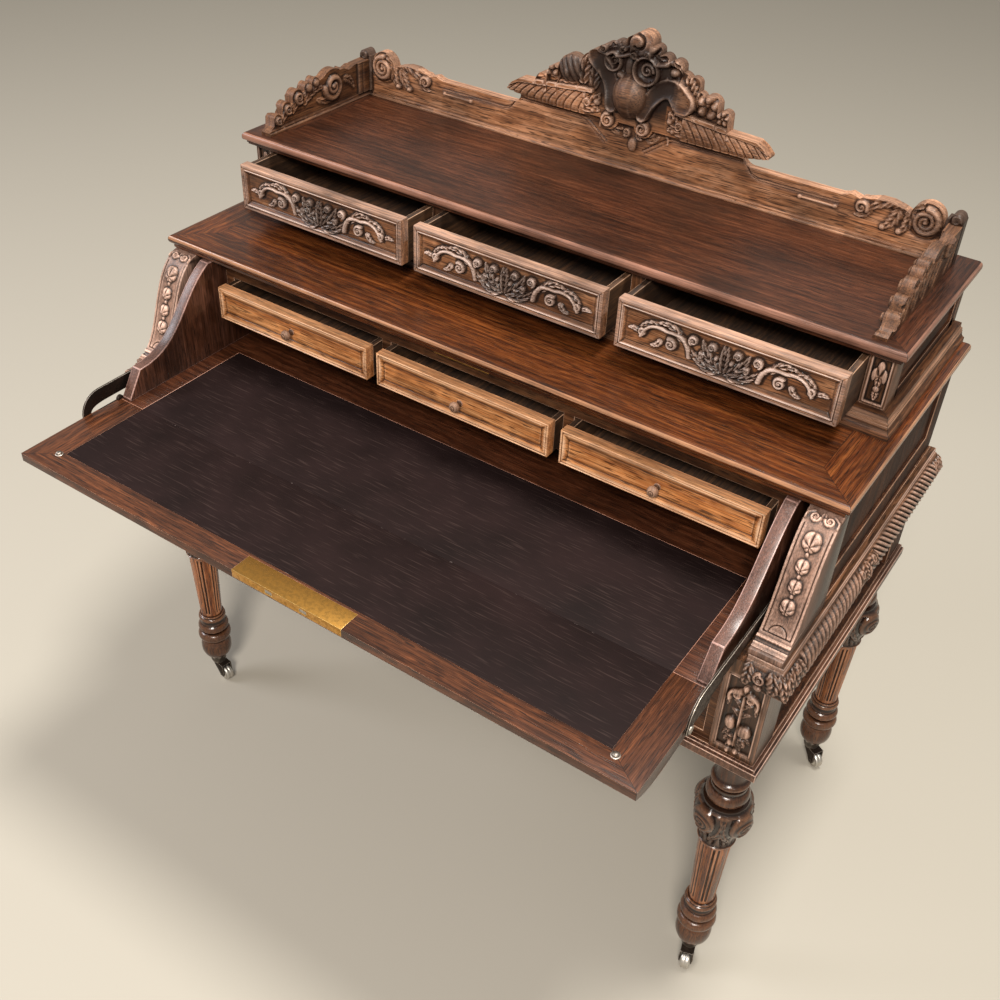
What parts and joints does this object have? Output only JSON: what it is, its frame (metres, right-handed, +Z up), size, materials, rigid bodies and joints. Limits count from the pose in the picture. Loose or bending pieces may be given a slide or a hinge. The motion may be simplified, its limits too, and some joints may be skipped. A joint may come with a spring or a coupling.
{
  "type": "drop-front secretary",
  "caption": "Carved oak drop-front secretary: a pull-out writing slide with a leather-topped falling leaf, drawers, and a carved gallery, on fluted legs with casters.",
  "frame": {"origin": "middle of the open desk's outline, on the floor under the casters", "axes": "+X to the sitter's right, +Y towards the back of the desk, +Z up"},
  "size_m": [1.1954, 0.8659, 1.288],
  "materials": {
    "oak": "waxed, satin",
    "carved_oak": "stained and waxed, satin",
    "light_oak": "thin wax, satin",
    "hide": "worn, satin",
    "brass": "aged, satin",
    "iron": "dark, satin",
    "bright_iron": "worn bright"
  },
  "bodies": {
    "case": {"leg_front_left": "oak", "leg_front_right": "oak", "leg_rear_left": "oak", "leg_rear_right": "oak", "caster_sockets": "iron", "base_sides": "oak", "base_bottom": "oak", "front_rails": "oak", "foot_moulding": "light_oak", "gadroon_bands": "carved_oak", "slide_runners": "oak", "back_panel": "oak", "mid_sides": "oak", "bracket_left": "oak", "bracket_right": "oak", "drawer_nest": "oak", "shelf": "oak", "strike_plate": "brass", "upper_plinth": "oak", "upper_ends": "oak", "upper_dividers": "oak", "upper_back": "oak", "cap": "oak", "gallery_back": "oak", "gallery_sides": "oak", "crest": "carved_oak"},
    "slide": {"slide_board": "oak", "slide_leather": "hide", "cheeks": "oak", "slide_hinges": "iron"},
    "leaf": {"leaf_board": "oak", "leaf_leather": "hide", "leaf_hinges": "iron", "stay_screws": "bright_iron", "lock": "brass"},
    "bolts": {"lock_bolts": "bright_iron"},
    "left_stay": {"stay_left": "iron"},
    "right_stay": {"stay_right": "iron"},
    "frieze_drawer": {"frieze_front": "oak", "frieze_box": "light_oak"},
    "inner_drawer_left": {"inner_front_left": "light_oak", "inner_box_left": "light_oak"},
    "upper_drawer_left": {"upper_front_left": "light_oak", "upper_box_left": "oak"},
    "inner_drawer_middle": {"inner_front_middle": "light_oak", "inner_box_middle": "light_oak"},
    "upper_drawer_middle": {"upper_front_middle": "light_oak", "upper_box_middle": "oak"},
    "inner_drawer_right": {"inner_front_right": "light_oak", "inner_box_right": "light_oak"},
    "upper_drawer_right": {"upper_front_right": "light_oak", "upper_box_right": "oak"},
    "swivel_front_left": {"caster_fork_front_left": "iron"},
    "wheel_front_left": {"caster_wheel_front_left": "bright_iron"},
    "swivel_front_right": {"caster_fork_front_right": "iron"},
    "wheel_front_right": {"caster_wheel_front_right": "bright_iron"},
    "swivel_rear_left": {"caster_fork_rear_left": "iron"},
    "wheel_rear_left": {"caster_wheel_rear_left": "bright_iron"},
    "swivel_rear_right": {"caster_fork_rear_right": "iron"},
    "wheel_rear_right": {"caster_wheel_rear_right": "bright_iron"}
  },
  "joints": [
    {"name": "leaf_hinge", "type": "hinge", "parent": "slide", "child": "leaf", "pos_m": [0, -0.243, 0.75], "axis": [-1, 0, 0], "range_deg": [0, 124]},
    {"name": "slide_travel", "type": "slide", "parent": "case", "child": "slide", "axis": [0, 1, 0], "range_m": [0, 0.103]},
    {"name": "bolt_travel", "type": "slide", "parent": "leaf", "child": "bolts", "axis": [0, -1, 0], "range_m": [0, 0.014]},
    {"name": "stay_pivot_left", "type": "hinge", "parent": "leaf", "child": "left_stay", "pos_m": [-0.5259, -0.306, 0.742], "axis": [-1, 0, 0], "range_deg": [-124, 0]},
    {"name": "stay_pivot_right", "type": "hinge", "parent": "leaf", "child": "right_stay", "pos_m": [0.5259, -0.306, 0.742], "axis": [-1, 0, 0], "range_deg": [-124, 0]},
    {"name": "inner_drawer_left_travel", "type": "slide", "parent": "case", "child": "inner_drawer_left", "axis": [0, 1, 0], "range_m": [-0.09, 0.038]},
    {"name": "inner_drawer_middle_travel", "type": "slide", "parent": "case", "child": "inner_drawer_middle", "axis": [0, 1, 0], "range_m": [-0.09, 0.038]},
    {"name": "inner_drawer_right_travel", "type": "slide", "parent": "case", "child": "inner_drawer_right", "axis": [0, 1, 0], "range_m": [-0.09, 0.038]},
    {"name": "upper_drawer_left_travel", "type": "slide", "parent": "case", "child": "upper_drawer_left", "axis": [0, 1, 0], "range_m": [-0.09, 0.078]},
    {"name": "upper_drawer_middle_travel", "type": "slide", "parent": "case", "child": "upper_drawer_middle", "axis": [0, 1, 0], "range_m": [-0.09, 0.078]},
    {"name": "upper_drawer_right_travel", "type": "slide", "parent": "case", "child": "upper_drawer_right", "axis": [0, 1, 0], "range_m": [-0.09, 0.078]},
    {"name": "frieze_drawer_travel", "type": "slide", "parent": "case", "child": "frieze_drawer", "axis": [0, 1, 0], "range_m": [-0.3, 0]},
    {"name": "swivel_front_left_turn", "type": "hinge", "parent": "case", "child": "swivel_front_left", "pos_m": [-0.5385, -0.117, 0.04], "axis": [0, 0, 1], "continuous": true},
    {"name": "wheel_front_left_roll", "type": "hinge", "parent": "swivel_front_left", "child": "wheel_front_left", "pos_m": [-0.51968, -0.11964, 0.016], "axis": [0.1392, 0.9903, 0], "continuous": true},
    {"name": "swivel_front_right_turn", "type": "hinge", "parent": "case", "child": "swivel_front_right", "pos_m": [0.5385, -0.117, 0.04], "axis": [0, 0, 1], "continuous": true},
    {"name": "wheel_front_right_roll", "type": "hinge", "parent": "swivel_front_right", "child": "wheel_front_right", "pos_m": [0.54374, -0.13526, 0.016], "axis": [0.9613, 0.2756, 0], "continuous": true},
    {"name": "swivel_rear_left_turn", "type": "hinge", "parent": "case", "child": "swivel_rear_left", "pos_m": [-0.5385, 0.397, 0.04], "axis": [0, 0, 1], "continuous": true},
    {"name": "wheel_rear_left_roll", "type": "hinge", "parent": "swivel_rear_left", "child": "wheel_rear_left", "pos_m": [-0.52065, 0.4035, 0.016], "axis": [-0.342, 0.9397, 0], "continuous": true},
    {"name": "swivel_rear_right_turn", "type": "hinge", "parent": "case", "child": "swivel_rear_right", "pos_m": [0.5385, 0.397, 0.04], "axis": [0, 0, 1], "continuous": true},
    {"name": "wheel_rear_right_roll", "type": "hinge", "parent": "swivel_rear_right", "child": "wheel_rear_right", "pos_m": [0.55495, 0.3875, 0.016], "axis": [0.5, 0.866, 0], "continuous": true}
  ],
  "couplings": [
    {"joint": "slide_travel", "follows": "leaf_hinge", "m_per_rad": 0.04759},
    {"joint": "stay_pivot_left", "follows": "leaf_hinge", "ratio": -1},
    {"joint": "stay_pivot_right", "follows": "leaf_hinge", "ratio": -1}
  ]
}
